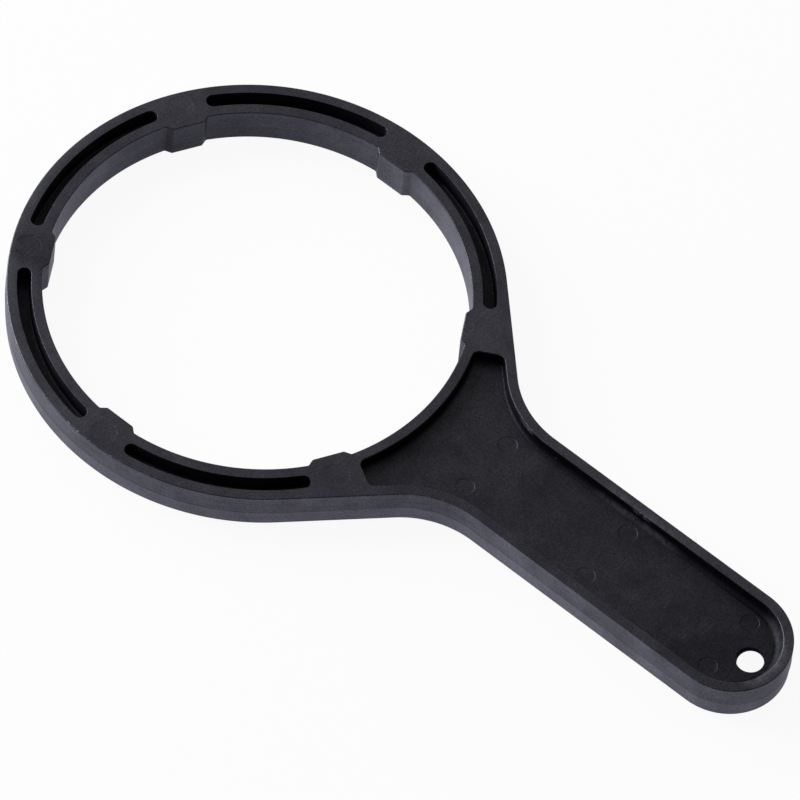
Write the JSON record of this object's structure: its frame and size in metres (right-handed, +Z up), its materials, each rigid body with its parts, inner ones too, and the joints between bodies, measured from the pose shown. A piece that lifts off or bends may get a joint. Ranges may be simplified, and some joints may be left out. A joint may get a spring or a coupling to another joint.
{
  "type": "filter housing wrench",
  "caption": "Flat moulded plastic spanner ring with inward lugs and a recessed straight handle with a hanging hole, for turning a ribbed water filter housing by hand",
  "frame": {"origin": "on the ring's axis, level with the underside", "axes": "+X runs along the handle from the ring to the tip, +Z is up out of the marked upper face along the ring's axis, +Y completes the right-handed set"},
  "size_m": [0.2605, 0.1422, 0.0122],
  "materials": {
    "black_plastic": "satin moulded"
  },
  "bodies": {
    "root": {"wrench": "black_plastic"}
  },
  "joints": []
}
